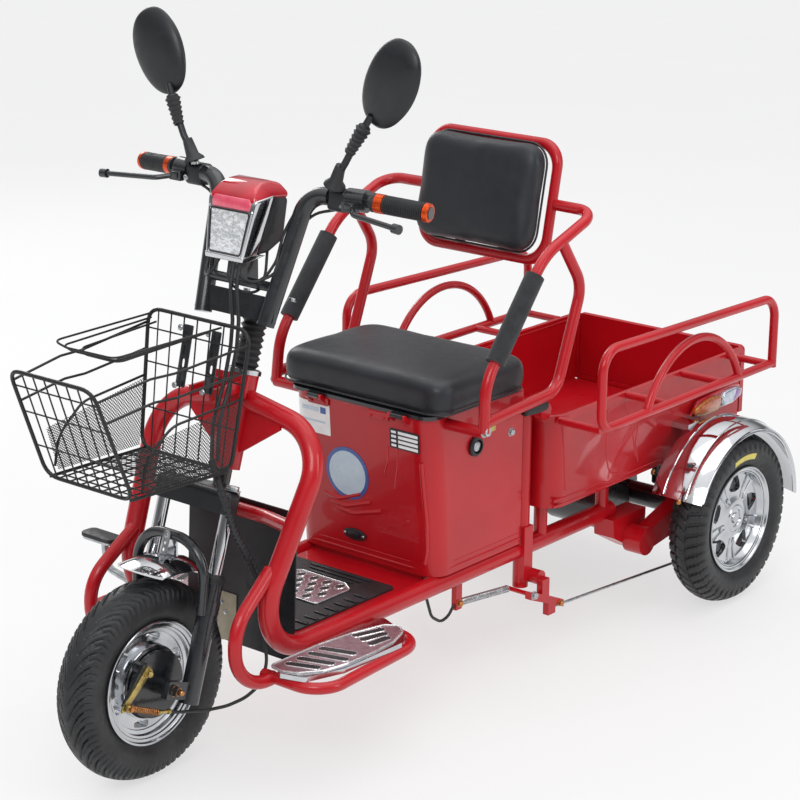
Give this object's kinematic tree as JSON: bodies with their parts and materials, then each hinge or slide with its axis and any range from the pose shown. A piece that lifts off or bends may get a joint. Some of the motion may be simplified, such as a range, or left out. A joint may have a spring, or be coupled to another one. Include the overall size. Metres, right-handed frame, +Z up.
{
  "type": "small electric cargo tricycle",
  "caption": "Red electric cargo tricycle with a steered front wheel, wire basket, padded seat on a battery box, backrest and an open steel load bed.",
  "frame": {"origin": "on the floor, below the middle of the overall box", "axes": "+Z up, -Y towards the front wheel, +X towards the rider's left"},
  "size_m": [0.756, 1.833, 1.3136],
  "materials": {
    "red_paint": "gloss enamel",
    "black_paint": "gloss enamel",
    "chrome_plate": "polished",
    "cast_alloy": "machined and lacquered",
    "tyre_rubber": "matte",
    "black_rubber": "matte",
    "seat_vinyl": "satin",
    "black_plastic": "moulded",
    "lamp_plastic": "clear moulded",
    "zinc_steel": "zinc plated",
    "sleeve_foam": "foam",
    "red_plastic": "gloss"
  },
  "bodies": {
    "root": {"head_tube": "red_paint", "side_frame_left": "red_paint", "side_frame_right": "red_paint", "frame_cross_tubes": "red_paint", "footboards": "cast_alloy", "floor_pan": "red_paint", "floor_mat": "black_rubber", "splash_guard": "black_plastic", "brake_pedal": "zinc_steel", "seat_box": "red_paint", "battery_pack": "black_plastic", "seat_posts": "red_paint", "arm_frame_left": "red_paint", "arm_frame_right": "red_paint", "arm_sleeves": "sleeve_foam", "backrest_frame": "red_paint", "backrest_pad": "seat_vinyl", "cargo_bed": "red_paint", "bed_rail_left": "red_paint", "bed_rail_right": "red_paint", "tail_lamps": "lamp_plastic", "rear_fender_left": "chrome_plate", "rear_fender_right": "chrome_plate", "bed_frame": "red_paint", "trailing_arms": "red_paint", "rear_axle": "black_paint", "rear_springs": "black_paint", "brake_rods": "zinc_steel", "rear_brake_arms": "red_paint", "basket": "black_paint"},
    "steering": {"fork_crown": "black_plastic", "fork_legs": "black_paint", "fork_tubes": "chrome_plate", "front_axle_brake": "black_paint", "fork_hoop": "black_paint", "front_fender": "chrome_plate", "steering_stem": "black_paint", "stem_bellows": "black_rubber", "handlebar": "black_paint", "grips": "black_rubber", "brake_levers": "black_paint", "mirrors": "black_plastic", "headlight": "red_plastic"},
    "front_wheel": {"front_tyre": "tyre_rubber", "front_rim": "cast_alloy"},
    "rear_wheel_left": {"rear_tyre_left": "tyre_rubber", "rear_rim_left": "cast_alloy"},
    "rear_wheel_right": {"rear_tyre_right": "tyre_rubber", "rear_rim_right": "cast_alloy"},
    "seat": {"seat_lid": "black_paint", "seat_cushion": "seat_vinyl"},
    "rear_gate": {"tailgate": "red_paint"}
  },
  "joints": [
    {"name": "steering", "type": "hinge", "parent": "root", "child": "steering", "pos_m": [0, -0.455, 0.673], "axis": [0, 0.309, 0.9511], "range_deg": [-36, 36]},
    {"name": "front_wheel", "type": "hinge", "parent": "steering", "child": "front_wheel", "pos_m": [0, -0.723, 0.185], "axis": [1, 0, 0], "continuous": true},
    {"name": "rear_wheel_left", "type": "hinge", "parent": "root", "child": "rear_wheel_left", "pos_m": [0.329, 0.694, 0.185], "axis": [1, 0, 0], "continuous": true},
    {"name": "rear_wheel_right", "type": "hinge", "parent": "root", "child": "rear_wheel_right", "pos_m": [-0.329, 0.694, 0.185], "axis": [1, 0, 0], "continuous": true},
    {"name": "seat_hinge", "type": "hinge", "parent": "root", "child": "seat", "pos_m": [0, -0.143, 0.5583], "axis": [1, 0, 0], "range_deg": [0, 95]},
    {"name": "gate_hinge", "type": "hinge", "parent": "root", "child": "rear_gate", "pos_m": [0, 0.906, 0.332], "axis": [-1, 0, 0], "range_deg": [0, 95]}
  ]
}
